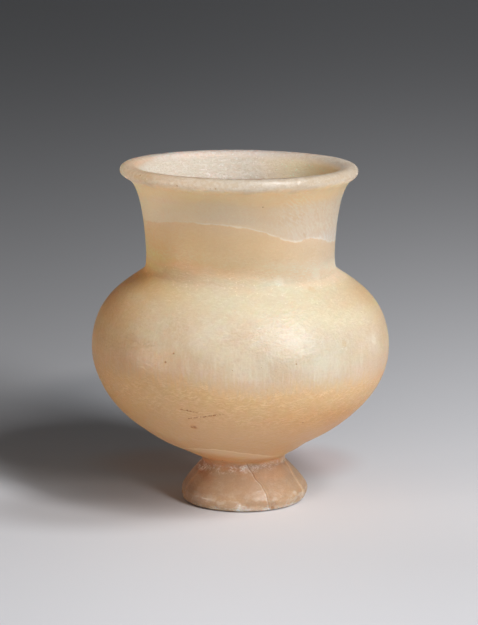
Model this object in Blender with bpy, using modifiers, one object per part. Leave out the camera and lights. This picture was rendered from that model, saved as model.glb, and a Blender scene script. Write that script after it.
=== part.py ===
"""A footed cosmetic jar with a wide neck, carved and hollowed from one block of travertine.

Metres, +Z up. The origin is on the ground, below the middle of the belly.
The jar is a turned outline with the small leans of hand work: its foot stands a little
to +X of the belly, the bowl's underside hangs a little to -X, and the mouth dips towards +X.
"""

import math

import bpy
from mathutils import Vector
from mathutils.geometry import interpolate_bezier

# Driving sizes: corners of the outline, as (distance from the axis, height above the ground).
HEIGHT = 0.1100  # of the lip, before its slope lifts one side a little
WALL = 0.0042  # thickness of the belly and the neck
GROUND = (0.0175, 0.0)  # edge of the flat underside
FOOT = (0.0207, 0.0035)  # the foot's widest line
CREASE = (0.0137, 0.0130)  # where the foot meets the bowl
FILLET = (0.0166, 0.0161)  # top of the small hollow curve that the carver left there
BOWL = (0.0350, 0.0276)  # where the bowl turns from its flat underside up to the belly
BELLY = (0.0482, 0.0510)
SHOULDER = (0.0313, 0.0759)  # the corner at the root of the neck
NECK = (0.0304, 0.0810)
LIP_ROOT = (0.0363, 0.1057)  # where the neck turns out into the lip
LIP_EDGE = (0.0382, 0.1080)  # the lip's widest line
LIP_TOP = (0.0359, HEIGHT)
MOUTH = (0.0331, 0.1093)  # the lip's inner edge
THROAT = (NECK[0] - WALL, 0.0775)  # the inside's narrowest line
HOLLOW = (BELLY[0] - WALL, BELLY[1])  # the inside's widest line
FLOOR = (0.0, 0.0203)  # the inside's lowest point

# The outline from the floor up the inside, over the lip and down the outside.
# Each stretch is a cubic curve that starts where the last one ends:
# (pull at its start, pull at its end, its end, facets along it).
OUTLINE = (
    ((0.0253, FLOOR[1]), (HOLLOW[0], 0.0388), HOLLOW, 8),
    ((HOLLOW[0], 0.0665), (THROAT[0], 0.0695), THROAT, 8),
    ((THROAT[0], 0.0950), (0.0295, 0.1057), MOUTH, 6),
    ((0.0335, 0.1098), (0.0346, HEIGHT), LIP_TOP, 3),
    ((0.0373, HEIGHT), (LIP_EDGE[0], 0.1092), LIP_EDGE, 4),
    ((LIP_EDGE[0], 0.1069), (0.0374, 0.1065), LIP_ROOT, 3),
    ((0.0312, 0.1035), (NECK[0], 0.0833), NECK, 9),
    ((NECK[0], 0.0778), (0.0306, 0.0768), SHOULDER, 3),
    ((0.0357, 0.0721), (BELLY[0], 0.0676), BELLY, 9),
    ((BELLY[0], 0.0452), (0.0454, 0.0359), BOWL, 6),
    ((0.0291, 0.0229), (0.0260, 0.0217), FILLET, 5),
    ((0.0160, 0.0157), (CREASE[0], 0.0151), CREASE, 3),
    ((CREASE[0], 0.0125), (FOOT[0], 0.0056), FOOT, 6),
    ((FOOT[0], 0.0014), (0.0188, 0.0), GROUND, 4),
    ((0.0117, 0.0), (0.0058, 0.0), (0.0, 0.0), 2),
)

AROUND = 60  # facets around the axis
MERGE_GAP = 0.00002

# How far each level stands off the axis towards +X, as (level, offset).
LEAN = (
    (0.0, 0.0010),
    (FOOT[1], 0.0014),
    (0.0080, 0.0013),
    (CREASE[1], 0.0011),
    (0.0175, -0.0002),
    (0.0210, -0.0012),
    (0.0260, -0.0006),
    (0.0420, 0.0),
    (0.1040, 0.0),
    (LIP_EDGE[1], -0.0004),
)
DIP_ANGLE = math.radians(0.4)  # slope of the mouth, down towards +X
DIP_FROM, DIP_TO = 0.0880, 0.1060  # levels between which the slope sets in


def clear_scene():
    for old in list(bpy.data.objects):
        bpy.data.objects.remove(old)


def on_profile(corner):
    """A (radius, level) pair as a point of the profile at +X."""
    return Vector((corner[0], 0.0, corner[1]))


def profile_points():
    points = [on_profile(FLOOR)]
    for start_pull, end_pull, end, facets in OUTLINE:
        pulls = on_profile(start_pull), on_profile(end_pull)
        points += interpolate_bezier(points[-1], *pulls, on_profile(end), facets + 1)[1:]
    return points


def eased(share):
    """0 to 1 with a level start and end."""
    share = min(1.0, max(0.0, share))
    return share * share * (3.0 - 2.0 * share)


def lean_at(level):
    """The offset towards +X at a level, eased between the rows of LEAN."""
    for (low, low_offset), (high, high_offset) in zip(LEAN, LEAN[1:]):
        if level <= high:
            return low_offset + (high_offset - low_offset) * eased((level - low) / (high - low))
    return LEAN[-1][1]


def hand_carved(point):
    """A point of the true turned jar, moved to where the carver left it."""
    slope = math.tan(DIP_ANGLE) * eased((point.z - DIP_FROM) / (DIP_TO - DIP_FROM))
    return Vector((point.x + lean_at(point.z), point.y, point.z - slope * point.x))


def turned(name, points, collection):
    """An object with the profile turned about Z by a Screw modifier."""
    mesh = bpy.data.meshes.new(name)
    mesh.from_pydata(points, [(i, i + 1) for i in range(len(points) - 1)], [])
    profile = bpy.data.objects.new(name, mesh)
    collection.objects.link(profile)
    screw = profile.modifiers.new("turn", "SCREW")
    screw.axis = "Z"
    screw.angle = math.tau
    screw.steps = screw.render_steps = AROUND
    screw.use_merge_vertices = True
    screw.merge_threshold = MERGE_GAP
    return profile


def finish_by_hand(jar):
    """Applies the turning, and then gives the jar the leans of hand work."""
    bpy.context.view_layer.update()
    graph = bpy.context.evaluated_depsgraph_get()
    mesh = bpy.data.meshes.new_from_object(jar.evaluated_get(graph))
    jar.modifiers.clear()
    jar.data = mesh
    for vertex in mesh.vertices:
        vertex.co = hand_carved(vertex.co)
    mesh.shade_smooth()
    mesh.set_sharp_from_angle(angle=math.radians(35.0))


def travertine():
    """Pale honey banded stone with a soft polish, which lets some light in."""
    material = bpy.data.materials.new("travertine")
    material.use_nodes = True
    shader = material.node_tree.nodes["Principled BSDF"]
    shader.inputs["Base Color"].default_value = (0.72, 0.50, 0.30, 1.0)
    shader.inputs["Roughness"].default_value = 0.4
    shader.inputs["Metallic"].default_value = 0.0
    shader.inputs["Subsurface Weight"].default_value = 0.6
    shader.inputs["Subsurface Scale"].default_value = 0.004
    return material


def main():
    clear_scene()
    collection = bpy.data.collections.new("wide_necked_jar")
    bpy.context.scene.collection.children.link(collection)
    jar = turned("jar", profile_points(), collection)
    finish_by_hand(jar)
    jar.data.materials.append(travertine())


main()
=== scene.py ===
import math

import bmesh
import bpy
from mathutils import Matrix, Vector, noise
from mathutils.geometry import interpolate_bezier


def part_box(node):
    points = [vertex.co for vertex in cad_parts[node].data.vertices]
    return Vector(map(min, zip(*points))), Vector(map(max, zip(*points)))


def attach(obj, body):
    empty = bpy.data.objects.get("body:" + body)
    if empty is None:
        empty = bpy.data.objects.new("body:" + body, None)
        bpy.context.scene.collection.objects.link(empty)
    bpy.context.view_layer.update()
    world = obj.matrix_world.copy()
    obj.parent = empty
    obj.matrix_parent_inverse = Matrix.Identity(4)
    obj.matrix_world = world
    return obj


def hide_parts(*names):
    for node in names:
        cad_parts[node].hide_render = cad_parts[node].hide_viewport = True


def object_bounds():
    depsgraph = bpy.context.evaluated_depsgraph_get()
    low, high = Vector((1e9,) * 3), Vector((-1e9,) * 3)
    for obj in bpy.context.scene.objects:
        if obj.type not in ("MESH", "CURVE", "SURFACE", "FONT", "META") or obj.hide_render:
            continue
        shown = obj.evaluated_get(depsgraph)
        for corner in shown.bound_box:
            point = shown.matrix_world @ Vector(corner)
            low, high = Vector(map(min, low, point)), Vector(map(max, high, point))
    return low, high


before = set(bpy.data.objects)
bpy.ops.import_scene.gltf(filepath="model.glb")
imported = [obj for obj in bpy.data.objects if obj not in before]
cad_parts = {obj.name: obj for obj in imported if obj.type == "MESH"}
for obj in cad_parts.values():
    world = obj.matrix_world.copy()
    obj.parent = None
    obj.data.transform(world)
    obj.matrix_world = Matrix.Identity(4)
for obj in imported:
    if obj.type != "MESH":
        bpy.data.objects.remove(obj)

# Looks of a footed jar with a wide neck, carved and hollowed from one block of banded travertine.
# Sizes in the dictionaries are millimetres on a jar 110 high; the frame's box turns them into metres.
# Angles are degrees round the jar: 0 faces the viewer (-Y), 90 is the right-hand side (+X).

cadLow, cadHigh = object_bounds()
boxLow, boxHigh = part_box("jar")

jar = {  # the true turned shape; a pair is (distance from the axis, height)
    "wall": 4.2,
    "floor": (0.0, 20.3),
    "belly": (48.2, 51.0),
    "neck": (30.4, 81.0),
    "throatHeight": 77.5,
    "lip": (38.2, 108.0),
    "foot": (20.7, 3.5),
    "crease": (13.7, 13.0),
    "insideEnds": (107.0, 109.3),  # between these heights the inside gives way to the lip
    "around": 320,  # steps round the axis
    "merge": 0.01,
    "lean": (  # (height, how far that level stands off the axis towards +X)
        (0.0, 1.0), (3.5, 1.4), (8.0, 1.3), (13.0, 1.1), (17.5, -0.2),
        (21.0, -1.2), (26.0, -0.6), (42.0, 0.0), (104.0, 0.0), (108.0, -0.4),
    ),
    "dip": 0.4,  # degrees that the mouth slopes down towards +X
    "dipHeights": (88.0, 106.0),  # between these heights the slope sets in
}
millimetre = (boxHigh.x - boxLow.x) / (2.0 * jar["belly"][0])  # the belly is the widest part

hollow = (jar["belly"][0] - jar["wall"], jar["belly"][1])
throat = (jar["neck"][0] - jar["wall"], jar["throatHeight"])

# Stretches of the outline, from the floor up the inside, over the lip and down to the ground:
# name, pull at the start, pull at the end, end, steps along it.
stretches = (
    ("bowlInside", (25.3, jar["floor"][1]), (hollow[0], 38.8), hollow, 16),
    ("shoulderInside", (hollow[0], 66.5), (throat[0], 69.5), throat, 14),
    ("neckInside", (throat[0], 95.0), (29.5, 105.7), (33.1, 109.3), 24),
    ("mouthEdge", (33.5, 109.8), (34.6, 110.0), (35.9, 110.0), 9),
    ("lipTop", (37.3, 110.0), (jar["lip"][0], 109.2), jar["lip"], 11),
    ("lipUnder", (jar["lip"][0], 106.9), (37.4, 106.5), (36.3, 105.7), 8),
    ("neck", (31.2, 103.5), (jar["neck"][0], 83.3), jar["neck"], 32),
    ("neckRoot", (jar["neck"][0], 77.8), (30.6, 76.8), (31.3, 75.9), 10),
    ("shoulder", (35.7, 72.1), (jar["belly"][0], 67.6), jar["belly"], 42),
    ("bowl", (jar["belly"][0], 45.2), (45.4, 35.9), (35.0, 27.6), 32),
    ("underBowl", (29.1, 22.9), (26.0, 21.7), (16.6, 16.1), 28),
    ("fillet", (16.0, 15.7), (jar["crease"][0], 15.1), jar["crease"], 12),
    ("foot", (jar["crease"][0], 12.5), (jar["foot"][0], 5.6), jar["foot"], 36),
    ("footEdge", (jar["foot"][0], 1.1), (20.3, 0.0), (17.5, 0.0), 14),
    ("underside", (11.7, 0.0), (5.8, 0.0), (0.0, 0.0), 6),
)
stretchNames = [row[0] for row in stretches]
mouthEdge = stretchNames.index("mouthEdge")  # the stretches before it are the inside


def ramp(value, low, high):  # eased change from 0 to 1 between two levels
    share = min(1.0, max(0.0, (value - low) / (high - low)))
    return share * share * (3.0 - 2.0 * share)


def readRow(rows, place):  # eased value between rows of (place, value)
    for (low, lowValue), (high, highValue) in zip(rows, rows[1:]):
        if place <= high:
            return lowValue + (highValue - lowValue) * ramp(place, low, high)
    return rows[-1][1]


def standOff(point):  # a point of the true turned jar, where the carver left it
    slope = math.tan(math.radians(jar["dip"])) * ramp(point.z, *jar["dipHeights"])
    return Vector((point.x + readRow(jar["lean"], point.z), point.y, point.z - slope * point.x))


def outlinePoints():  # (point, stretch number) all the way along
    here = Vector((jar["floor"][0], 0.0, jar["floor"][1]))
    points = [(here, 0)]
    for number, (name, startPull, endPull, end, steps) in enumerate(stretches):
        pulls = [Vector((radius, 0.0, height)) for radius, height in (startPull, endPull, end)]
        for point in interpolate_bezier(here, *pulls, steps + 1)[1:]:
            points.append((point, number))
        here = pulls[2]
    return points


def turnJar():
    mesh = bmesh.new()
    stretch = mesh.verts.layers.int.new("stretch")
    inside = mesh.verts.layers.float.new("inside")
    profile = []
    for point, number in outlinePoints():
        vertex = mesh.verts.new(point)
        vertex[stretch] = number
        if number < mouthEdge:
            vertex[inside] = 1.0 - ramp(point.z, *jar["insideEnds"])
        profile.append(vertex)
    edges = [mesh.edges.new(pair) for pair in zip(profile, profile[1:])]
    bmesh.ops.spin(
        mesh, geom=profile + edges, cent=(0, 0, 0), axis=(0, 0, 1),
        angle=math.tau, steps=jar["around"], use_merge=True,
    )
    bmesh.ops.remove_doubles(mesh, verts=mesh.verts, dist=jar["merge"])
    bmesh.ops.recalc_face_normals(mesh, faces=mesh.faces)
    for vertex in mesh.verts:
        vertex.co = standOff(vertex.co)
    return mesh


wear = {  # marks of hand work and of age, as depths below the true turned shape
    "waves": 0.14,  # slow unevenness left by hand grinding
    "waveSize": 24.0,
    "ripple": 0.05,
    "rippleSize": 7.0,
    "crack": (  # (angle, height) from the crease down to the ground
        (7.6, 15.0), (10.8, 13.0), (14.0, 11.9), (17.0, 10.0), (21.2, 8.5),
        (22.9, 7.1), (24.3, 5.4), (24.3, 3.9), (27.0, 0.9),
    ),
    "crackWander": 0.25,
    "crackStep": 0.42,  # how far the stone right of the crack lies back
    "stepWidth": 0.7,
    "stepEnds": (7.0, 21.0),  # to the right of the crack, where the stone comes forward again
    "crackGroove": 0.22,
    "crackWidth": 0.5,
    "leftRidge": ((-68.0, 12.8), (-71.0, 9.0), (-73.0, 6.0), (-75.0, 1.0)),
    "ridge": ((85.0, 12.8), (82.0, 11.6), (74.0, 9.3), (71.0, 6.4), (70.0, 3.9), (69.0, 1.0)),
    "ridgeCut": 0.35,  # the flank is cut flatter on either side of a low ridge
    "ridgeWidth": 1.4,
    "ridgeEnds": (2.0, 8.0),
    "wedge": 0.45,  # a small piece broken from the bottom edge
    "wedgeAt": -5.0,
    "wedgeWidth": 0.9,
    "wedgeTop": 3.2,
    "crust": 0.22,
    "crustFrom": 11.6,
    "crustTo": 16.2,
    "crustFade": 1.5,
    "edgeChips": 0.5,  # the foot's bottom edge is nibbled
    "chipsAt": 1.2,
    "chipsReach": 2.6,
    "lipNicks": 0.28,
    "groundKept": 0.4,  # the flat that the jar stands on keeps its true level
}


def soft(value):  # noise as a share from 0 to 1
    return min(1.0, max(0.0, 0.5 + 0.5 * value))


def angleAt(point):
    return math.degrees(math.atan2(point.x - readRow(jar["lean"], point.z), -point.y))


def lineAngle(line, height):  # angle of a line that runs down the jar, at a height
    rows = sorted((level, angle) for angle, level in line)
    if height <= rows[0][0]:
        return rows[0][1]
    for (low, lowAngle), (high, highAngle) in zip(rows, rows[1:]):
        if height <= high:
            return lowAngle + (highAngle - lowAngle) * (height - low) / (high - low)
    return rows[-1][1]


def crackWear(point, angle, radius):  # the crack, with the stone on its right lying back
    past = math.radians(angle - lineAngle(wear["crack"], point.z)) * radius
    past += wear["crackWander"] * noise.noise(point * 0.9)
    back = ramp(past, 0.0, wear["stepWidth"]) * (1.0 - ramp(past, *wear["stepEnds"]))
    back *= ramp(point.z, 0.5, 8.5) * (1.0 - ramp(point.z, 14.0, 16.0))
    groove = max(0.0, 1.0 - abs(past) / wear["crackWidth"]) * (1.0 - ramp(point.z, 14.0, 15.5))
    return wear["crackStep"] * back + wear["crackGroove"] * groove


def ridgeWear(point, angle, radius, ridge):
    off = abs(math.radians(angle - lineAngle(wear[ridge], point.z))) * radius
    beside = ramp(off, 0.0, wear["ridgeWidth"]) * (1.0 - ramp(off, *wear["ridgeEnds"]))
    return wear["ridgeCut"] * beside * (1.0 - ramp(point.z, 12.0, 14.0)) * ramp(point.z, 0.0, 3.0)


def edgeWear(point, angle, radius):  # the broken wedge and the nibbled edge
    beside = abs(math.radians(angle - wear["wedgeAt"])) * radius
    wedge = (1.0 - ramp(beside, 0.0, wear["wedgeWidth"])) * (1.0 - ramp(point.z, 0.0, wear["wedgeTop"]))
    spread = Vector((point.x, point.y, point.z * 0.5)) * 0.45
    nibble = ramp(noise.noise(spread + Vector((7.0, 3.0, 1.0))), 0.12, 0.52)
    edge = 1.0 - ramp(abs(point.z - wear["chipsAt"]), 0.0, wear["chipsReach"])
    return wear["wedge"] * wedge + wear["edgeChips"] * edge * nibble * ramp(point.z, 0.0, 0.6)


def footWear(point):
    angle = angleAt(point)
    radius = max(1.0, math.hypot(point.x, point.y))
    depth = crackWear(point, angle, radius) + edgeWear(point, angle, radius)
    for ridge in ("ridge", "leftRidge"):
        depth += ridgeWear(point, angle, radius, ridge)
    return depth


def crustWear(point):  # grains of crust in the crease
    low, high, reach = wear["crustFrom"], wear["crustTo"], wear["crustFade"]
    inCrust = ramp(point.z, low, low + reach) * (1.0 - ramp(point.z, high, high + reach))
    grains = soft(noise.noise(point * 1.3)) * 0.6 + soft(noise.noise(point * 2.9)) * 0.4
    return wear["crust"] * inCrust * grains


def lipWear(point):
    nick = noise.noise(Vector((point.x, point.y, point.z * 0.6)) * 0.33 + Vector((2.0, 9.0, 4.0)))
    small = noise.noise(point * 1.1)
    return wear["lipNicks"] * (0.7 * ramp(nick, 0.25, 0.6) + 0.3 * ramp(small, 0.1, 0.6))


def wearDepth(point, number):
    if point.z < wear["groundKept"]:
        return 0.0
    name = stretchNames[number]
    depth = wear["waves"] * soft(noise.noise(point / wear["waveSize"]))
    depth += wear["ripple"] * soft(noise.noise(point / wear["rippleSize"]))
    if name in ("underBowl", "fillet", "foot", "footEdge"):
        depth += crustWear(point)
    if name in ("fillet", "foot", "footEdge"):
        depth += footWear(point)
    if name in ("mouthEdge", "lipTop", "lipUnder"):
        depth += lipWear(point)
    return depth * ramp(point.z, 0.3, 1.5)


def wearDown(mesh):
    stretch = mesh.verts.layers.int["stretch"]
    mesh.normal_update()
    moves = [vertex.normal * -wearDepth(vertex.co, vertex[stretch]) for vertex in mesh.verts]
    for vertex, move in zip(mesh.verts, moves):
        vertex.co += move


def makeJar():
    mesh = turnJar()
    wearDown(mesh)
    bmesh.ops.scale(mesh, vec=(millimetre,) * 3, verts=mesh.verts)
    data = bpy.data.meshes.new("carvedJar")
    mesh.to_mesh(data)
    mesh.free()
    data.shade_smooth()
    piece = bpy.data.objects.new("carvedJar", data)
    bpy.context.scene.collection.objects.link(piece)
    return piece


stone = {
    # from the ground up: name, level or line where it starts, half the width of the change,
    # colour, and how far red, green and blue light travels in it
    "layers": (
        ("foot", -5.0, 1.0, (0.47, 0.315, 0.2), (9.0, 6.0, 4.0)),
        ("root", 14.6, 0.9, (0.65, 0.345, 0.15), (12.0, 6.0, 3.0)),
        ("underPatch", 18.2, 1.8, (0.72, 0.48, 0.285), (14.0, 8.0, 4.0)),
        ("underBowl", "footVein", 0.35, (0.635, 0.385, 0.195), (12.0, 8.0, 4.0)),
        ("bowl", 35.0, 6.0, (0.69, 0.418, 0.211), (16.0, 8.0, 4.0)),
        ("belly", "bellyTurn", 4.2, (0.6, 0.45, 0.32), (18.0, 9.0, 5.0)),
        ("shoulder", 67.0, 4.0, (0.648, 0.543, 0.398), (18.0, 9.0, 5.0)),
        ("goldNeck", 78.4, 2.8, (0.96, 0.465, 0.22), (41.0, 46.0, 44.0)),
        ("paleNeck", "neckVein", 0.3, (0.965, 0.54, 0.29), (46.0, 54.0, 58.0)),
        # underLip: a warmer band under the lip's overhang, painted warm shade
        ("underLip", 101.6, 1.8, (0.965, 0.545, 0.25), (30.0, 46.0, 52.0)),
        ("lip", 106.4, 1.0, (0.605, 0.43, 0.288), (34.0, 34.0, 36.0)),
    ),
    "neckVein": (  # (x, height) where the white vein meets the front of the neck
        (-40.0, 90.5), (-29.0, 92.1), (-22.0, 94.3), (-13.9, 95.1), (0.0, 94.4), (6.8, 92.7),
        (13.9, 89.7), (18.0, 88.6), (21.9, 89.0), (26.0, 87.3), (28.5, 85.3), (40.0, 83.0),
    ),
    "bellyTurn": (  # where the cream of the belly turns to the orange of the bowl
        (-48.0, 47.0), (-40.0, 49.0), (-29.5, 50.4), (-10.8, 49.4), (5.0, 46.6),
        (14.8, 47.2), (24.7, 46.6), (36.5, 45.5), (44.5, 44.5), (48.0, 44.0),
    ),
    "footVein": (  # the pale line in the underside of the bowl
        (-26.0, 17.5), (-20.0, 19.0), (-16.0, 21.2), (-10.0, 22.6), (-3.5, 22.0),
        (0.0, 20.8), (5.0, 19.4), (10.0, 17.3), (26.0, 13.0),
    ),
    "climb": 0.06,  # the layers climb a little to the back
    "climbFrom": 30.0,
    "insideLit": (0.66, 0.565, 0.45),  # colours and glows of their own
    "insideShadedTan": (0.98, 0.65, 0.44),
    "insideGlow": (12.0, 15.0, 14.0),
    "tanGlow": (16.0, 14.0, 13.0),
    "neckLeftGlow": (14.0, 21.0, 22.5),
    "crust": (0.78, 0.64, 0.52),
    "insideDeepShade": (1.0, 0.92, 0.86),  # from here on, tints that multiply what lies below them
    "lowBelly": (1.02, 0.96, 0.95),
    "flanks": (0.99, 0.89, 0.76),
    "vein": (1.03, 1.18, 1.35),
    "veinGlow": (0.5, 0.55, 0.55),
    "veil": (1.05, 1.18, 1.34),
    "paintedGlint": (1.32, 1.4, 1.48),
    "cloud": (1.1, 1.18, 1.28),
    "growth": (1.17, 1.27, 1.42),
    "crinkle": (1.12, 1.18, 1.25),
    "chalk": (1.18, 1.34, 1.56),
    "lipLeft": (0.98, 0.88, 0.83),
    "lipBack": (1.42, 1.55, 1.72),
    "litLipBackGlow": (0.5, 0.7, 0.75),
    "litLipBackSides": ((6.0, 24.0, (1.0, 0.88, 0.78)), (-12.0, -26.0, (0.74, 0.88, 1.0))),
    "honey": (0.9, 0.75, 0.6),
    "brownShade": (0.6, 0.45, 0.35),
    "brown": (0.6, 0.36, 0.19),
    # slow changes of tone on the outside, partly the stone's own tone and partly painted light and shade,
    # with warm painted shade on the left away from the key lamp: lowest and highest level, softness of
    # both,
    # x where there is none and x where it is full, tint
    "tonesAndPaintedShade": (
        (-9.0, 125.0, 1.0, -22.0, -46.0, (0.99, 0.86, 0.66)),  # whole height
        (-9.0, 125.0, 1.0, 6.0, 26.0, (0.96, 0.97, 0.96)),
        (-9.0, 4.5, 1.5, -8.0, -18.0, (0.78, 0.85, 0.95)),  # foot
        (-9.0, 14.6, 0.6, -6.0, -20.0, (0.77, 0.55, 0.41)),
        (3.8, 6.8, 1.0, -2.0, 4.0, (0.87, 0.87, 0.86)),
        (-9.0, 3.6, 0.6, -4.0, 2.0, (1.21, 1.31, 1.47)),
        (8.0, 13.6, 1.2, -7.0, -13.0, (0.9, 0.64, 0.48)),
        (11.2, 14.2, 0.8, 30.0, 20.0, (1.09, 1.01, 0.97)),
        (13.2, 16.4, 0.8, 2.0, 8.0, (0.97, 0.9, 0.85)),
        (11.6, 15.4, 0.8, 4.0, -6.0, (1.12, 0.9, 0.7)),
        (17.5, 24.0, 1.5, -6.0, -19.0, (0.97, 0.9, 0.86)),  # bowl
        (20.0, 36.0, 4.0, -10.0, -36.0, (0.89, 0.9, 0.87)),
        (36.0, 46.0, 3.0, -31.0, -42.0, (0.88, 0.91, 0.97)),
        (20.0, 40.0, 3.0, 0.0, 24.0, (0.99, 0.88, 0.73)),
        (26.0, 41.0, 3.0, 19.0, 34.0, (0.97, 0.89, 0.77)),
        (46.0, 55.5, 2.5, -10.0, -26.0, (1.0, 0.9, 0.8)),  # belly and shoulder
        (54.0, 75.0, 5.0, -2.0, -30.0, (1.1, 1.04, 0.98)),
        (46.0, 57.0, 3.0, -31.0, -42.0, (1.03, 1.08, 1.16)),
        (50.0, 66.0, 4.0, -2.0, 9.0, (0.88, 0.91, 0.91)),
        (48.0, 66.0, 4.0, 12.0, 24.0, (1.02, 1.07, 1.11)),
        (44.0, 66.0, 4.0, 28.0, 42.0, (1.08, 1.0, 0.97)),
        (70.0, 78.0, 3.0, 20.0, 38.0, (0.96, 0.88, 0.81)),
        (60.0, 74.0, 4.0, -20.0, -40.0, (1.0, 0.92, 0.83)),
        (69.0, 80.0, 4.0, -7.0, -33.0, (0.99, 0.74, 0.5)),
        (73.5, 80.0, 2.0, 16.0, -2.0, (1.06, 0.9, 0.84)),
        (77.5, 84.5, 2.0, 2.0, 14.0, (1.08, 1.13, 1.2)),
        (75.5, 82.0, 2.0, -16.0, -28.0, (1.12, 1.28, 1.24)),
        (72.5, 77.0, 1.5, -22.0, -30.0, (1.15, 1.12, 1.05)),
        (77.5, 106.0, 2.5, 4.0, -30.0, (1.03, 1.03, 0.98)),  # neck
        (80.0, 93.0, 2.5, 6.0, 28.0, (1.02, 1.17, 1.42)),
        (85.0, 92.0, 2.5, -18.0, -6.0, (0.95, 0.94, 0.95)),
        (92.0, 98.0, 2.0, -16.0, -6.0, (0.96, 0.97, 1.03)),
        (86.0, 106.5, 2.0, -16.0, -28.0, (1.0, 1.05, 1.2)),
        (100.5, 106.5, 1.0, -8.0, -26.0, (1.0, 0.94, 1.03)),
        (90.0, 98.0, 2.5, -2.0, -18.0, (1.0, 1.02, 1.1)),
        (96.5, 102.5, 1.5, -2.0, 8.0, (0.99, 0.92, 0.89)),
        (96.5, 102.5, 1.5, 12.0, 22.0, (0.99, 0.98, 0.98)),
        (89.0, 106.0, 2.5, 6.0, 28.0, (1.05, 1.07, 1.12)),
        (102.0, 106.5, 1.0, 4.0, 20.0, (1.02, 0.96, 0.9)),  # lip
        (106.0, 125.0, 0.6, -10.0, 10.0, (0.83, 0.88, 0.94)),
        (107.0, 125.0, 0.8, 8.0, 24.0, (0.98, 0.94, 0.9)),
        (105.0, 125.0, 0.8, -29.0, -37.0, (1.23, 1.28, 1.45)),
    ),
    "grains": {  # noises: size of the lumps along x, y and z, detail, roughness, distortion
        "slow": ((30.0, 30.0, 30.0), 2.0, 0.5, 0.0),
        "mid": ((7.0, 7.0, 5.0), 2.0, 0.5, 0.0),
        "small": ((2.6, 2.6, 2.2), 2.0, 0.5, 0.0),
        "fine": ((0.55, 0.55, 0.5), 1.0, 0.5, 0.0),
        "strands": ((0.8, 0.8, 7.0), 3.0, 0.65, 0.35),
        "bend": ((1.5, 1.5, 2.4), 1.0, 0.5, 0.0),
        "dents": ((3.6, 3.6, 3.0), 2.0, 0.5, 0.0),
        "toolLines": ((2.6, 2.6, 0.6), 2.0, 0.5, 0.0),
        "pecks": ((1.3, 1.3, 1.1), 1.0, 0.5, 0.0),
        "clouds": ((9.0, 9.0, 7.0), 4.0, 0.6, 0.0),
        "clumps": ((3.4, 3.4, 8.0), 2.0, 0.5, 0.0),
        "lines": ((2.0, 2.0, 0.3), 2.0, 0.55, 0.0),
        "breaks": ((5.0, 5.0, 3.0), 2.0, 0.5, 0.0),
        "neckStrands": ((0.7, 1.6, 5.0), 3.0, 0.6, 0.5),
        "slanted": ((0.6, 1.6, 4.0), 2.0, 0.6, 0.3),
        "mottle": ((1.5, 1.5, 1.1), 3.0, 0.65, 0.0),
        "crinkles": ((1.5, 1.5, 0.62), 3.0, 0.62, 0.8),
        "crystals": ((0.55, 0.55, 0.4), 3.0, 0.7, 0.0),
        "blotches": ((3.0, 3.0, 1.7), 4.0, 0.65, 0.0),
        "dots": ((0.6, 0.6, 0.6), 1.0, 0.5, 0.0),
    },
    "patches": {  # noise levels between which a grain shows, and the least and the most of it
        "clouds": (0.42, 0.64),
        "strands": (0.4, 0.64),
        "clumps": (0.36, 0.6, 0.3, 1.0),
        "lines": (0.43, 0.66),
        "breaks": (0.3, 0.6, 0.3, 1.0),
        "neckStrands": (0.42, 0.62),
        "slanted": (0.46, 0.62),
        "veinBreaks": (0.3, 0.6, 0.45, 1.0),
        "mottle": (0.4, 0.62),
        "dirtBreaks": (0.36, 0.52),
        "crinkles": (0.4, 0.62),
        "crystals": (0.46, 0.6),
        "crustBreaks": (0.36, 0.56),
        "blotches": (0.46, 0.62),
        "dots": (0.42, 0.56),
    },
    "changes": {  # where each one starts and ends, and the values before and after it
        "tilt": (90.0, 101.0, 0.1, 0.0),  # heights and levels
        "onNeck": (75.0, 80.0),
        "bowlFrom": (18.0, 26.0),
        "bellyTo": (62.0, 71.0, 1.0, 0.0),
        "neckLines": (78.0, 84.0),
        "bowlLines": (30.0, 38.0, 0.25, 1.0),
        "veilTo": (99.0, 104.0, 1.0, 0.0),
        "onLip": (104.8, 106.6),
        "lipTop": (106.0, 109.0),
        "dirtFrom": (108.4, 109.0),
        "lowBlotches": (2.0, 7.0, 1.2, 0.3),
        "highBlotches": (8.0, 12.0, 0.0, 0.15),
        "blotchesTo": (12.0, 15.0, 1.0, 0.0),
        "footTo": (14.2, 15.4, 1.0, 0.0),
        "crackSoil": (7.0, 12.0, 0.35, 0.8),
        "groundSoil": (0.2, 0.7, 0.6, 0.0),
        "lipGlints": (104.0, 106.5, 0.0, 0.9),
        "belowTurn": (1.0, -3.0),  # heights above the line where a layer starts
        "aboveTurn": (-0.5, 5.0),
        "veinLines": (-3.0, -1.0, 0.5, 0.12),
        "aboveVein": (-0.2, 0.4),
        "veinWidth": (0.12, 0.42, 1.0, 0.0),
        "arcWidth": (0.05, 0.5, 1.0, 0.0),
        "scratchWidth": (0.08, 0.34, 1.0, 0.0),
        "neckLeft": (0.0, -29.0),  # x
        "veilX": (5.0, 24.0),
        "veinX": (-22.0, -10.0, 0.15, 1.0),
        "lipLeft": (-30.0, -14.0, 1.0, 0.0),
        "tanX": (2.0, 20.0),
        "deepX": (18.0, 30.0),
        "lipBack": (4.0, 22.0),  # y
        "front": (-6.0, 2.0, 1.0, 0.0),
        "lipInner": (37.7, 36.4),  # distance from the axis
        "flanks": (56.0, 82.0),  # angle to either side
    },
    "spans": {  # lowest, highest, and the softness of both ends
        "flanks": (40.0, 77.0, 3.0),  # levels
        "shoulderLines": (60.0, 84.0, 5.0),
        "slanted": (96.0, 105.0, 2.0),
        "crease": (11.6, 13.9, 0.6),
        "creaseGlints": (12.0, 16.0, 1.0),
        "rootGlints": (72.0, 79.0, 1.5),
        "rootMatt": (74.5, 80.0, 1.5),
        "lowBelly": (1.5, 6.0, 2.0),  # height above the belly's turn
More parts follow.
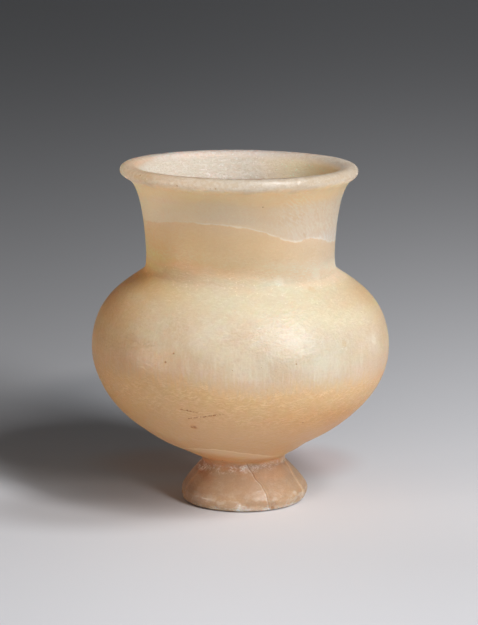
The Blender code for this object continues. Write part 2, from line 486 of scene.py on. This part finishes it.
        "slantedX": (12.0, 22.0, 4.0),  # x
        "arcX": (-24.0, 11.0, 3.0),
        "dirtRing": (34.5, 36.2, 0.25),  # distance from the axis
        "dirtAngles": (-42.0, 24.0, 8.0),  # angle
        "brokenEdge": (-0.4, 0.0, 0.12),  # distance to the right of a crack or a ridge
        "crackLine": (0.05, 0.4, 0.14),
    },
    "brownSpots": (  # (angle, height, radius)
        (-25.5, 57.2, 0.42), (-28.6, 54.3, 0.5), (20.8, 54.3, 0.35), (7.6, 53.8, 0.25),
        (-3.0, 53.0, 0.25), (28.5, 33.8, 0.4), (-19.9, 32.8, 0.8), (-21.3, 32.7, 0.5),
        (-54.0, 109.0, 0.45), (-30.0, 107.3, 0.4), (-11.0, 107.0, 0.35), (-13.5, 107.0, 0.25),
        (12.0, 100.8, 0.3), (27.5, 0.9, 1.0),
    ),
    "milk": (  # middles of the milky clouds in the belly
        # the cloud at 20 degrees, 65 high lies on the key lamp's highlight and brightens it: partly
        # painted highlight
        (-12.0, 63.0, 9.0), (20.0, 65.0, 11.0), (3.0, 53.0, 7.0),
        (-40.0, 63.0, 7.0), (34.0, 51.0, 8.0), (62.0, 57.0, 6.0),
    ),
    "orangeSpots": (
        (-20.4, 32.8, 1.7), (43.0, 58.6, 1.5), (9.8, 46.8, 0.6), (41.0, 74.0, 1.9), (40.0, 90.6, 1.3),
    ),
    "whiteSpots": (
        (43.5, 57.0, 0.7), (33.0, 38.0, 0.7), (41.5, 57.2, 0.45), (23.0, 77.0, 2.2),
        (51.0, 77.5, 2.6), (0.0, 2.4, 1.1), (62.0, 57.0, 2.0),
    ),
    "chips": (
        (-5.0, 0.7, 0.9), (-4.7, 1.7, 0.75), (-4.4, 2.6, 0.5), (0.5, 12.6, 1.9), (54.0, 4.6, 1.3),
    ),
    "scratches": (  # ends of each fine dotted scratch: (x, height)
        ((-18.5, 39.3), (-13.0, 38.6)), ((-16.9, 36.0), (-10.9, 37.3)), ((-11.5, 37.1), (-5.0, 38.5)),
    ),
    "footLines": (("crack", 1.0), ("ridge", 0.7), ("leftRidge", 0.4)),  # strength of the painted highlight along their edges
    "glintSpacing": 1.1,
    "glintSize": 0.3,
    "glintShare": 0.4,
    "whitest": 0.98,
    "refraction": 1.5,
    "roughness": 0.39,
    "relief": {  # fine relief, as heights
        "lines": 0.1, "fine": 0.045, "small": 0.1, "dents": 0.07, "fibres": 0.02, "toolLines": 0.06,
        "pecks": 0.12, "pits": -0.12, "crack": -0.12, "crust": 0.25, "crinkles": 0.25, "glints": 0.06,
    },
}


def outerPoint(angle, height):  # where an angle and a height meet the jar's outer wall
    rows = [(point.z, point.x) for point, number in outlinePoints() if number > mouthEdge]
    for (high, highRadius), (low, lowRadius) in zip(rows, rows[1:]):
        if low <= height <= high:
            radius = lowRadius + (highRadius - lowRadius) * (height - low) / max(high - low, 1e-6)
            break
    turn = math.radians(angle)
    return standOff(Vector((radius * math.sin(turn), -radius * math.cos(turn), height)))


def addNode(tree, kind, inputs=None, output=0, **settings):
    made = tree.nodes.new("ShaderNode" + kind)
    for name, value in settings.items():
        setattr(made, name, value)
    for key, value in (inputs or {}).items():
        if isinstance(value, bpy.types.NodeSocket):
            tree.links.new(value, made.inputs[key])
        else:
            made.inputs[key].default_value = value
    return made.outputs[output]


def maths(tree, operation, first, second=0.0):
    return addNode(tree, "Math", {0: first, 1: second}, operation=operation)


def vectors(tree, operation, first, second, output=0):
    return addNode(tree, "VectorMath", {0: first, 1: second}, output, operation=operation)


def scaled(tree, vector, factor):
    return addNode(tree, "VectorMath", {0: vector, "Scale": factor}, operation="SCALE")


def product(tree, *values):
    result = values[0]
    for value in values[1:]:
        result = maths(tree, "MULTIPLY", result, value)
    return result


def total(tree, *values):
    result = values[0]
    for value in values[1:]:
        result = maths(tree, "ADD", result, value)
    return result


def less(tree, first, second):
    return maths(tree, "SUBTRACT", first, second)


def unsigned(tree, value):
    return maths(tree, "ABSOLUTE", value)


def split(tree, vector):
    made = tree.nodes.new("ShaderNodeSeparateXYZ")
    tree.links.new(vector, made.inputs[0])
    return made.outputs


def fade(tree, value, low, high, lowValue=0.0, highValue=1.0):  # eased change between two levels
    inputs = {"Value": value, "From Min": low, "From Max": high, "To Min": lowValue, "To Max": highValue}
    return addNode(tree, "MapRange", inputs, interpolation_type="SMOOTHSTEP")


def band(tree, value, low, high, softness):  # 1 between two levels and 0 past them
    rise = fade(tree, value, low - softness, low + softness)
    return product(tree, rise, fade(tree, value, high - softness, high + softness, 1.0, 0.0))


def change(tree, value, name):
    return fade(tree, value, *stone["changes"][name])


def span(tree, value, name):
    return band(tree, value, *stone["spans"][name])


def grain(tree, place, name):
    lumps, detail, roughness, distortion = stone["grains"][name]
    inputs = {"Vector": vectors(tree, "DIVIDE", place, lumps), "Scale": 1.0, "Detail": detail}
    inputs |= {"Roughness": roughness, "Distortion": distortion}
    return addNode(tree, "TexNoise", inputs)


def showing(tree, noiseLevel, name):
    return fade(tree, noiseLevel, *stone["patches"][name])


def patches(tree, place, name):
    return showing(tree, grain(tree, place, name), name)


def shifts(tree, place, closeness, detail=2.0):  # noise along x, y and z at once
    inputs = {"Vector": place, "Scale": closeness, "Detail": detail}
    return addNode(tree, "TexNoise", inputs, output=1)


def swing(tree, value, reach):  # noise turned into a shift of up to half the reach either way
    return maths(tree, "MULTIPLY", less(tree, value, 0.5), reach)


def aslant(tree, place, degrees):  # coordinates turned about Y
    inputs = {"Vector": place, "Rotation": (0.0, math.radians(degrees), 0.0)}
    return addNode(tree, "Mapping", inputs)


def mixed(tree, share, first, second, blend="MIX"):
    colours = [c if isinstance(c, bpy.types.NodeSocket) else (*c, 1.0) for c in (first, second)]
    inputs = {"Factor": share, 6: colours[0], 7: colours[1]}
    settings = {"data_type": "RGBA", "blend_type": blend, "clamp_factor": True}
    return addNode(tree, "Mix", inputs, output=2, **settings)


def tinted(tree, share, colour, tint):  # a colour multiplied by a tint, where the share says
    return mixed(tree, share, colour, tint, "MULTIPLY")


def greyOf(tree, value):
    return addNode(tree, "CombineColor", {0: value, 1: value, 2: value})


def readCurve(tree, value, points, low, high, lowest, highest):  # a curve through (place, value) points
    share = addNode(tree, "MapRange", {"Value": value, "From Min": low, "From Max": high})
    made = tree.nodes.new("ShaderNodeFloatCurve")
    curve = made.mapping.curves[0]
    while len(curve.points) < len(points):
        curve.points.new(0.5, 0.5)
    for knot, (at, result) in zip(curve.points, points):
        knot.location = ((at - low) / (high - low), (result - lowest) / (highest - lowest))
    made.mapping.update()
    tree.links.new(share, made.inputs["Value"])
    return total(tree, product(tree, made.outputs[0], highest - lowest), lowest)


def nearSpots(tree, place, spots):  # 1 at the middle of the nearest spot, 0 from its edge outwards
    nearest = None
    for angle, height, radius in spots:
        away = vectors(tree, "DISTANCE", place, outerPoint(angle, height), output=1)
        away = maths(tree, "DIVIDE", away, radius)
        nearest = away if nearest is None else maths(tree, "MINIMUM", nearest, away)
    return fade(tree, nearest, 0.45, 1.0, 1.0, 0.0)


def sparks(tree, place):  # scattered bright crystals, one in some of the cells
    spacing, reach = stone["glintSpacing"], stone["glintSize"] / stone["glintSpacing"]
    cells = tree.nodes.new("ShaderNodeTexVoronoi")
    tree.links.new(scaled(tree, place, 1.0 / spacing), cells.inputs["Vector"])
    cells.inputs["Scale"].default_value = 1.0
    draw = addNode(tree, "SeparateColor", {0: cells.outputs["Color"]})
    chosen = maths(tree, "GREATER_THAN", draw, 1.0 - stone["glintShare"])
    return product(tree, fade(tree, cells.outputs["Distance"], 0.3 * reach, reach, 1.0, 0.0), chosen)


def readPlace(tree):  # shared coordinates in millimetres, and the noises that bend things
    place = scaled(tree, addNode(tree, "TexCoord", output=3), 1.0 / millimetre)
    x, y, z = split(tree, place)
    here = {"place": place, "x": x, "y": y, "z": z}
    here["inside"] = addNode(tree, "Attribute", output=2, attribute_name="inside")
    here["outer"] = less(tree, 1.0, here["inside"])
    turn = maths(tree, "ARCTAN2", x, maths(tree, "MULTIPLY", y, -1.0))
    here["angle"] = product(tree, turn, 180.0 / math.pi)
    here["radius"] = maths(tree, "SQRT", total(tree, product(tree, x, x), product(tree, y, y)))
    for name in ("mid", "small", "fine", "strands"):
        here[name] = grain(tree, place, name)
    here["clouds"] = patches(tree, place, "clouds")
    slow = grain(tree, place, "slow")
    tilt = product(tree, x, change(tree, z, "tilt"))  # the layers below the lip rise to -X
    here["level"] = total(tree, z, swing(tree, slow, 5.0), swing(tree, here["mid"], 2.4), tilt)
    return here


def layColours(tree, here):  # the layers from the ground up; also how far light travels in them
    x, y, z = here["x"], here["y"], here["z"]
    wander = total(tree, swing(tree, here["small"], 1.1), swing(tree, here["mid"], 0.8))
    rise = product(tree, total(tree, y, stone["climbFrom"]), stone["climb"])
    colour = None
    glow = None
    for name, start, softness, paint, travel in stone["layers"]:
        if isinstance(start, str):
            line = readCurve(tree, x, stone[start], -50.0, 50.0, 0.0, 110.0)
            height = total(tree, less(tree, z, total(tree, line, rise)), wander)
            if name == "belly":
                height = total(tree, height, swing(tree, here["strands"], 7.0))
        else:
            height = less(tree, here["level"], start)
        here[name] = height
        share = fade(tree, height, -softness, softness)
        colour = mixed(tree, share, colour or paint, paint)
        glow = mixed(tree, share, glow or travel, travel)
    return colour, glow


def paintTonesAndPaintedShade(tree, here, colour, glow):
    x, level, outer = here["x"], here["level"], here["outer"]
    # painted light and shade, mixed with the stone's own tone, by level and by x
    for low, high, softness, none, full, tint in stone["tonesAndPaintedShade"]:
        share = product(tree, band(tree, level, low, high, softness), fade(tree, x, none, full))
        colour = tinted(tree, product(tree, share, outer), colour, tint)
    # painted shade: the jar's left and right sides, where they turn away from the front, warmer and
    # darker
    flankShade = change(tree, unsigned(tree, here["angle"]), "flanks")
    flankShade = product(tree, flankShade, span(tree, level, "flanks"), outer)
    colour = tinted(tree, flankShade, colour, stone["flanks"])
    here["onNeck"] = product(tree, change(tree, level, "onNeck"), outer)
    onLeft = product(tree, here["onNeck"], change(tree, x, "neckLeft"))
    return colour, mixed(tree, onLeft, glow, stone["neckLeftGlow"])


def paintBelly(tree, here, colour, glow):  # warm at its lower edge, with cream clouds and upright fibres
    place, height = here["place"], here["belly"]
    lowBelly = product(tree, span(tree, height, "lowBelly"), here["outer"])
    colour = tinted(tree, lowBelly, colour, stone["lowBelly"])
    inBelly = product(tree, change(tree, height, "aboveTurn"), change(tree, here["level"], "bellyTo"))
    fibres = product(tree, showing(tree, here["strands"], "strands"), patches(tree, place, "clumps"))
    drift = vectors(tree, "SUBTRACT", shifts(tree, place, 0.16, 4.0), (0.5, 0.5, 0.5))
    drifted = vectors(tree, "ADD", place, scaled(tree, drift, 16.0))
    milky = total(
        tree, 0.08, product(tree, here["clouds"], 0.32), product(tree, fibres, 0.55),
        product(tree, nearSpots(tree, drifted, stone["milk"]), 0.6),
    )
    here["fibres"] = product(tree, fibres, inBelly)
    return tinted(tree, product(tree, inBelly, milky), colour, stone["cloud"]), glow


def paintLines(tree, here, colour, glow):  # fine wavy lines of growth
    place, level = here["place"], here["level"]
    lift = total(tree, swing(tree, grain(tree, place, "bend"), 1.3), swing(tree, here["mid"], 3.0))
    waved = vectors(tree, "ADD", place, addNode(tree, "CombineXYZ", {2: lift}))
    lines = patches(tree, waved, "lines")
    broken = patches(tree, place, "breaks")
    onShoulder = span(tree, level, "shoulderLines")
    onNeck = product(tree, change(tree, here["paleNeck"], "veinLines"), change(tree, level, "neckLines"))
    onBowl = product(tree, change(tree, here["belly"], "belowTurn"), change(tree, level, "bowlFrom"))
    onBowl = product(tree, onBowl, change(tree, level, "bowlLines"))
    share = total(tree, product(tree, onShoulder, 0.4), product(tree, onNeck, 0.3), onBowl)
    here["lines"] = product(tree, lines, share, broken, here["outer"])
    return tinted(tree, here["lines"], colour, stone["growth"]), glow


def paintNeck(tree, here, colour, glow):  # the white vein, and the cloudy fibres over it on the right
    place, x, level = here["place"], here["x"], here["level"]
    above = change(tree, here["paleNeck"], "aboveVein")
    strands = patches(tree, aslant(tree, place, 24.0), "neckStrands")
    slanted = patches(tree, aslant(tree, place, 52.0), "slanted")
    slanted = product(tree, slanted, span(tree, x, "slantedX"), span(tree, level, "slanted"))
    veil = product(tree, above, change(tree, x, "veilX"), change(tree, level, "veilTo"))
    fibres = total(tree, 0.05, product(tree, strands, 0.85), product(tree, here["clouds"], 0.35))
    veil = total(tree, product(tree, veil, fibres), product(tree, slanted, 0.75))
    colour = tinted(tree, product(tree, veil, here["outer"]), colour, stone["veil"])
    vein = change(tree, unsigned(tree, here["paleNeck"]), "veinWidth")
    vein = product(tree, vein, change(tree, x, "veinX"), here["onNeck"])
    vein = product(tree, vein, showing(tree, here["small"], "veinBreaks"))
    glow = tinted(tree, vein, glow, stone["veinGlow"])
    return tinted(tree, vein, colour, stone["vein"]), glow


def paintLip(tree, here, colour, glow):  # mottled, with dirt along the inner edge, painted shade on its left and painted light on its top at the back
    x, z, radius = here["x"], here["z"], here["radius"]
    onLip = product(tree, change(tree, z, "onLip"), here["outer"])
    mottle = patches(tree, here["place"], "mottle")
    colour = tinted(tree, product(tree, mottle, onLip), colour, stone["cloud"])
    # painted shade: the lip warmer and darker on its left, away from the key lamp
    onLeft = product(tree, onLip, change(tree, x, "lipLeft"))
    colour = tinted(tree, onLeft, colour, stone["lipLeft"])
    # painted light: the top of the lip at the back made lighter, cooler towards its left end and warmer
    # towards its right
    litBack = product(tree, change(tree, z, "lipTop"), change(tree, here["y"], "lipBack"))
    litBack = product(tree, litBack, change(tree, radius, "lipInner"))
    colour = tinted(tree, litBack, colour, stone["lipBack"])
    for none, full, tint in stone["litLipBackSides"]:
        side = product(tree, litBack, fade(tree, x, none, full))
        colour = tinted(tree, side, colour, tint)
    glow = tinted(tree, litBack, glow, stone["litLipBackGlow"])
    ring = product(tree, span(tree, radius, "dirtRing"), span(tree, here["angle"], "dirtAngles"))
    dirt = product(tree, ring, showing(tree, here["small"], "dirtBreaks"), change(tree, z, "dirtFrom"))
    return tinted(tree, product(tree, dirt, 0.9), colour, stone["brown"]), glow


def paintInside(tree, here, colour, glow):  # lit and shaded copies of the inside wall: pale and crinkled where the key lamp lights it on the left, smoother with painted warm tan shade on the right
    x, inside = here["x"], here["inside"]
    shade = change(tree, total(tree, x, swing(tree, here["mid"], 8.0)), "tanX")
    wall = mixed(tree, shade, stone["insideLit"], stone["insideShadedTan"])
    # painted shade, deeper still towards the far right of the inside
    wall = tinted(tree, change(tree, x, "deepX"), wall, stone["insideDeepShade"])
    colour = mixed(tree, inside, colour, wall)
    glow = mixed(tree, inside, glow, mixed(tree, shade, stone["insideGlow"], stone["tanGlow"]))
    rough = less(tree, 1.0, product(tree, shade, 0.75))
    here["crinkles"] = product(tree, patches(tree, here["place"], "crinkles"), inside, rough)
    return tinted(tree, here["crinkles"], colour, stone["crinkle"]), glow


def paintCrease(tree, here, colour, glow):  # the pale line under the bowl, and the crusted crease
    arc = change(tree, unsigned(tree, here["underBowl"]), "arcWidth")
    arc = product(tree, arc, span(tree, here["x"], "arcX"), here["outer"])
    colour = tinted(tree, arc, colour, stone["chalk"])
    along = total(tree, here["z"], product(tree, here["x"], -0.06), swing(tree, here["mid"], 1.6))
    inCrease = product(tree, span(tree, along, "crease"), showing(tree, here["small"], "crustBreaks"))
    here["crust"] = product(tree, inCrease, patches(tree, here["place"], "crystals"))
    share = total(tree, product(tree, inCrease, 0.12), product(tree, here["crust"], 0.85))
    return mixed(tree, share, colour, stone["crust"]), glow


def paintFoot(tree, here, colour, glow):  # chalky blotches, painted highlight along the edges of the crack and ridges, painted shade in the crack, and painted contact shade at the ground
    place, z = here["place"], here["z"]
    low = total(tree, change(tree, z, "lowBlotches"), change(tree, z, "highBlotches"))
    low = product(tree, low, change(tree, here["level"], "blotchesTo"))
    blotches = product(tree, patches(tree, place, "blotches"), low)
    colour = tinted(tree, blotches, colour, stone["chalk"])
    onFoot = change(tree, z, "footTo")
    for line, strength in stone["footLines"]:
        rows = [(height, angle) for angle, height in reversed(wear[line])]
        at = readCurve(tree, z, rows, 0.0, 16.0, -90.0, 90.0)
        past = product(tree, less(tree, here["angle"], at), here["radius"], math.pi / 180.0)
        past = total(tree, past, swing(tree, here["small"], 0.4))
        # painted highlight: a pale line just left of the crack and the ridges, where their edges catch
        # the light
        pale = product(tree, span(tree, past, "brokenEdge"), onFoot, strength)
        colour = tinted(tree, product(tree, pale, 0.8), colour, stone["chalk"])
        if line == "crack":
            here["crack"] = product(tree, span(tree, past, "crackLine"), onFoot)
            # painted shade: the crack darkened brown, more so towards its top
            brownShade = product(tree, here["crack"], change(tree, z, "crackSoil"))
            colour = tinted(tree, brownShade, colour, stone["brownShade"])
    colour = tinted(tree, nearSpots(tree, place, stone["chips"]), colour, stone["chalk"])
    # painted contact shade: the lowest part of the foot darkened where the jar meets the floor
    return tinted(tree, change(tree, z, "groundSoil"), colour, stone["brownShade"]), glow


def scratchMarks(tree, here):
    x = here["x"]
    marks = None
    for (startX, startZ), (endX, endZ) in stone["scratches"]:
        ends = {"Value": x, "From Min": startX, "From Max": endX, "To Min": startZ, "To Max": endZ}
        off = less(tree, here["z"], addNode(tree, "MapRange", ends))
        off = unsigned(tree, total(tree, off, swing(tree, here["small"], 0.9)))
        mark = product(tree, change(tree, off, "scratchWidth"), band(tree, x, startX, endX, 0.3))
        marks = mark if marks is None else maths(tree, "MAXIMUM", marks, mark)
    return product(tree, marks, patches(tree, here["place"], "dots"), change(tree, here["y"], "front"))


def paintMarks(tree, here, colour, glow):  # spots and scratches
    place = here["place"]
    ragged = vectors(tree, "ADD", place, shifts(tree, place, 1.6))
    ragged = vectors(tree, "SUBTRACT", ragged, (0.5, 0.5, 0.5))
    for spots, strength, tint in (("orangeSpots", 0.5, "honey"), ("whiteSpots", 0.7, "cloud")):
        share = product(tree, nearSpots(tree, ragged, stone[spots]), strength)
        colour = tinted(tree, share, colour, stone[tint])
    specks = nearSpots(tree, place, stone["brownSpots"])
    colour = tinted(tree, product(tree, specks, 0.8), colour, stone["brown"])
    scratched = scratchMarks(tree, here)
    here["pits"] = maths(tree, "MAXIMUM", scratched, specks)
    return tinted(tree, product(tree, scratched, 0.95), colour, stone["brown"]), glow


def paintGlints(tree, here, colour, glow):  # crystals at the crease, the root, the lip and inside, their sparkle painted into the colour as painted glints
    level = here["level"]
    where = total(
        tree, span(tree, level, "creaseGlints"), change(tree, here["z"], "lipGlints"),
        product(tree, here["inside"], 0.9), product(tree, span(tree, level, "rootGlints"), 0.6), 0.12,
    )
    here["glints"] = product(tree, sparks(tree, here["place"]), where)
    return tinted(tree, here["glints"], colour, stone["paintedGlint"]), glow


def reliefOf(tree, here):
    for name in ("dents", "toolLines", "pecks"):
        here[name] = grain(tree, here["place"], name)
    return total(tree, *[product(tree, here[name], height) for name, height in stone["relief"].items()])


def polishOf(tree, here):
    return total(
        tree, stone["roughness"], swing(tree, here["mid"], 0.2), swing(tree, here["fine"], 0.16),
        product(tree, here["crust"], 0.2), product(tree, here["glints"], -0.2),
        product(tree, span(tree, here["z"], "rootMatt"), 0.4),
    )


def travertine():
    material = bpy.data.materials.new("bandedTravertine")
    material.use_nodes = True
    tree = material.node_tree
    shader = tree.nodes["Principled BSDF"]
    here = readPlace(tree)
    colour, glow = layColours(tree, here)
    for paint in (
        paintTonesAndPaintedShade, paintBelly, paintLines, paintNeck, paintLip,
        paintInside, paintCrease, paintFoot, paintMarks, paintGlints,
    ):
        colour, glow = paint(tree, here, colour, glow)
    colour = mixed(tree, 0.1, colour, greyOf(tree, here["fine"]), "OVERLAY")
    colour = vectors(tree, "MINIMUM", colour, (stone["whitest"],) * 3)
    tree.links.new(colour, shader.inputs["Base Color"])
    shader.inputs["Subsurface Weight"].default_value = 1.0
    shader.inputs["Subsurface Scale"].default_value = millimetre
    tree.links.new(glow, shader.inputs["Subsurface Radius"])
    shader.inputs["IOR"].default_value = stone["refraction"]
    tree.links.new(polishOf(tree, here), shader.inputs["Roughness"])
    relief = {"Strength": 1.0, "Distance": millimetre, "Height": reliefOf(tree, here)}
    tree.links.new(addNode(tree, "Bump", relief), shader.inputs["Normal"])
    print("stone painted:", len(tree.nodes), "nodes")
    return material


studio = {  # metres, except where a note says otherwise
    "keyWatts": 7.7,
    "keyColour": (1.0, 0.995, 0.995),
    "keyWide": 0.16,
    "keyTall": 0.65,
    "keyAway": 0.75,
    "keyTurn": 40.5,  # degrees to the right of the viewer
    "keyRise": 35.0,  # degrees above level
    "ambient": (0.074, 0.075, 0.076),
    "cardWatts": 5.0,  # a pale, warm card standing far off on the left
    "cardColour": (1.1, 1.0, 0.86),
    "cardSize": 0.12,
    "cardPlace": (-1.3, -0.45, 0.06),
    "paperSize": 12.0,
    "paperGap": 0.00002,  # below the jar
    "paperRoughness": 0.75,
    "paperColour": (0.73, 0.737, 0.77),
    "fanCentre": 0.73,  # painted light and shade on the far paper, from darker on the left to lighter on the right, fan out from this far in front of the jar
    "fanHalf": 0.115,  # radians to either side
    "paperLeft": 0.76,  # painted shade at the fan's left and painted light at its right
    "paperRight": 1.05,
    "depths": (0.2, 1.2, 0.96, 1.05),  # behind the jar: from, to, and the painted shade and light there
    "farFrom": (-0.02, 0.14),  # where the fan sets in
    "nearRight": 0.88,  # painted shade on the near paper on the right
    "nearFrom": (0.0, -0.08),
    "rightFrom": (-0.04, 0.08),
    "paperShades": (  # painted shadow on the paper: the outer part of the jar's shadow, warm painted shade round the foot, and painted shade behind the jar on the left:
        (-0.048, -0.014, 0.054, 0.034, (0.71, 0.69, 0.68)),  # x, y, reach along each, tint
        (-0.024, 0.045, 0.036, 0.026, (1.0, 0.86, 0.78)),
        (0.024, 0.045, 0.022, 0.03, (0.89, 0.8, 0.78)),
        (-0.05, 0.145, 0.045, 0.06, (0.77, 0.78, 0.79)),
    ),
    "lens": 132.5,
    "cameraAway": 744.0,  # the jar's millimetres
    "cameraPitch": 11.195,  # degrees
    "aim": (-0.45, 0.0, 61.5),  # the jar's millimetres
}


def paperColour(tree):
    x, y, z = split(tree, addNode(tree, "TexCoord", output=3))
    # painted light and shade: the far paper darker to the left and lighter to the right
    turn = maths(tree, "ARCTAN2", x, total(tree, y, studio["fanCentre"]))
    half = studio["fanHalf"]
    across = fade(tree, turn, -half, half, studio["paperLeft"], studio["paperRight"])
    across = product(tree, across, fade(tree, y, *studio["depths"]))
    tone = mixed(tree, fade(tree, y, *studio["farFrom"]), (1.0, 1.0, 1.0), greyOf(tree, across))
    # painted shade on the near paper to the right
    near = product(tree, fade(tree, y, *studio["nearFrom"]), fade(tree, x, *studio["rightFrom"]))
    tone = tinted(tree, near, tone, (studio["nearRight"],) * 3)
    # painted shadow and warm painted shade on the paper, one ellipse each
    for atX, atY, reachX, reachY, tint in studio["paperShades"]:
        offX = product(tree, total(tree, x, -atX), 1.0 / reachX)
        offY = product(tree, total(tree, y, -atY), 1.0 / reachY)
        away = maths(tree, "SQRT", total(tree, product(tree, offX, offX), product(tree, offY, offY)))
        tone = tinted(tree, fade(tree, away, 1.0, 0.3), tone, tint)
    return tinted(tree, 1.0, studio["paperColour"], tone)


def makeFloor():
    mesh = bmesh.new()
    bmesh.ops.create_grid(mesh, x_segments=1, y_segments=1, size=studio["paperSize"])
    data = bpy.data.meshes.new("floor")
    mesh.to_mesh(data)
    mesh.free()
    floor = bpy.data.objects.new("floor", data)
    bpy.context.scene.collection.objects.link(floor)
    floor.location.z = cadLow.z - studio["paperGap"]
    paper = bpy.data.materials.new("palePaper")
    paper.use_nodes = True
    tree = paper.node_tree
    shader = tree.nodes["Principled BSDF"]
    tree.links.new(paperColour(tree), shader.inputs["Base Color"])
    shader.inputs["Roughness"].default_value = studio["paperRoughness"]
    data.materials.append(paper)


def addLamp(name, place, wide, tall, watts, colour):  # aimed at the middle of the jar
    data = bpy.data.lights.new(name, "AREA")
    data.shape = "RECTANGLE"
    data.size = wide
    data.size_y = tall
    data.energy = watts
    data.color = colour
    lamp = bpy.data.objects.new(name, data)
    lamp.location = place
    lamp.rotation_euler = ((cadLow + cadHigh) / 2 - place).to_track_quat("-Z", "Y").to_euler()
    lamp.visible_camera = False
    bpy.context.scene.collection.objects.link(lamp)


def makeLights():
    turn, rise = math.radians(studio["keyTurn"]), math.radians(studio["keyRise"])
    away = Vector((math.sin(turn) * math.cos(rise), -math.cos(turn) * math.cos(rise), math.sin(rise)))
    key = (cadLow + cadHigh) / 2 + away * studio["keyAway"]
    card = Vector(studio["cardPlace"])
    wide, tall, square = studio["keyWide"], studio["keyTall"], studio["cardSize"]
    addLamp("softKey", key, wide, tall, studio["keyWatts"], studio["keyColour"])
    addLamp("leftCard", card, square, square, studio["cardWatts"], studio["cardColour"])
    world = bpy.data.worlds.new("studioRoom")
    world.use_nodes = True
    world.node_tree.nodes["Background"].inputs["Color"].default_value = (*studio["ambient"], 1.0)
    bpy.context.scene.world = world


def makeCamera():
    data = bpy.data.cameras.new("camera")
    data.lens = studio["lens"]
    camera = bpy.data.objects.new("camera", data)
    pitch = math.radians(studio["cameraPitch"])
    back = Vector((0.0, -math.cos(pitch), math.sin(pitch)))
    middle = Vector(((boxLow.x + boxHigh.x) / 2, (boxLow.y + boxHigh.y) / 2, boxLow.z))
    aim = middle + Vector(studio["aim"]) * millimetre
    camera.location = aim + back * studio["cameraAway"] * millimetre
    camera.rotation_euler = (math.pi / 2 - pitch, 0.0, 0.0)
    bpy.context.scene.collection.objects.link(camera)
    bpy.context.scene.camera = camera


piece = makeJar()
print("jar carved:", len(piece.data.vertices), "vertices")
piece.data.materials.append(travertine())
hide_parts("jar")
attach(piece, "root")

makeFloor()
makeLights()
makeCamera()
bpy.context.scene.view_settings.view_transform = "Standard"
print("studio set")
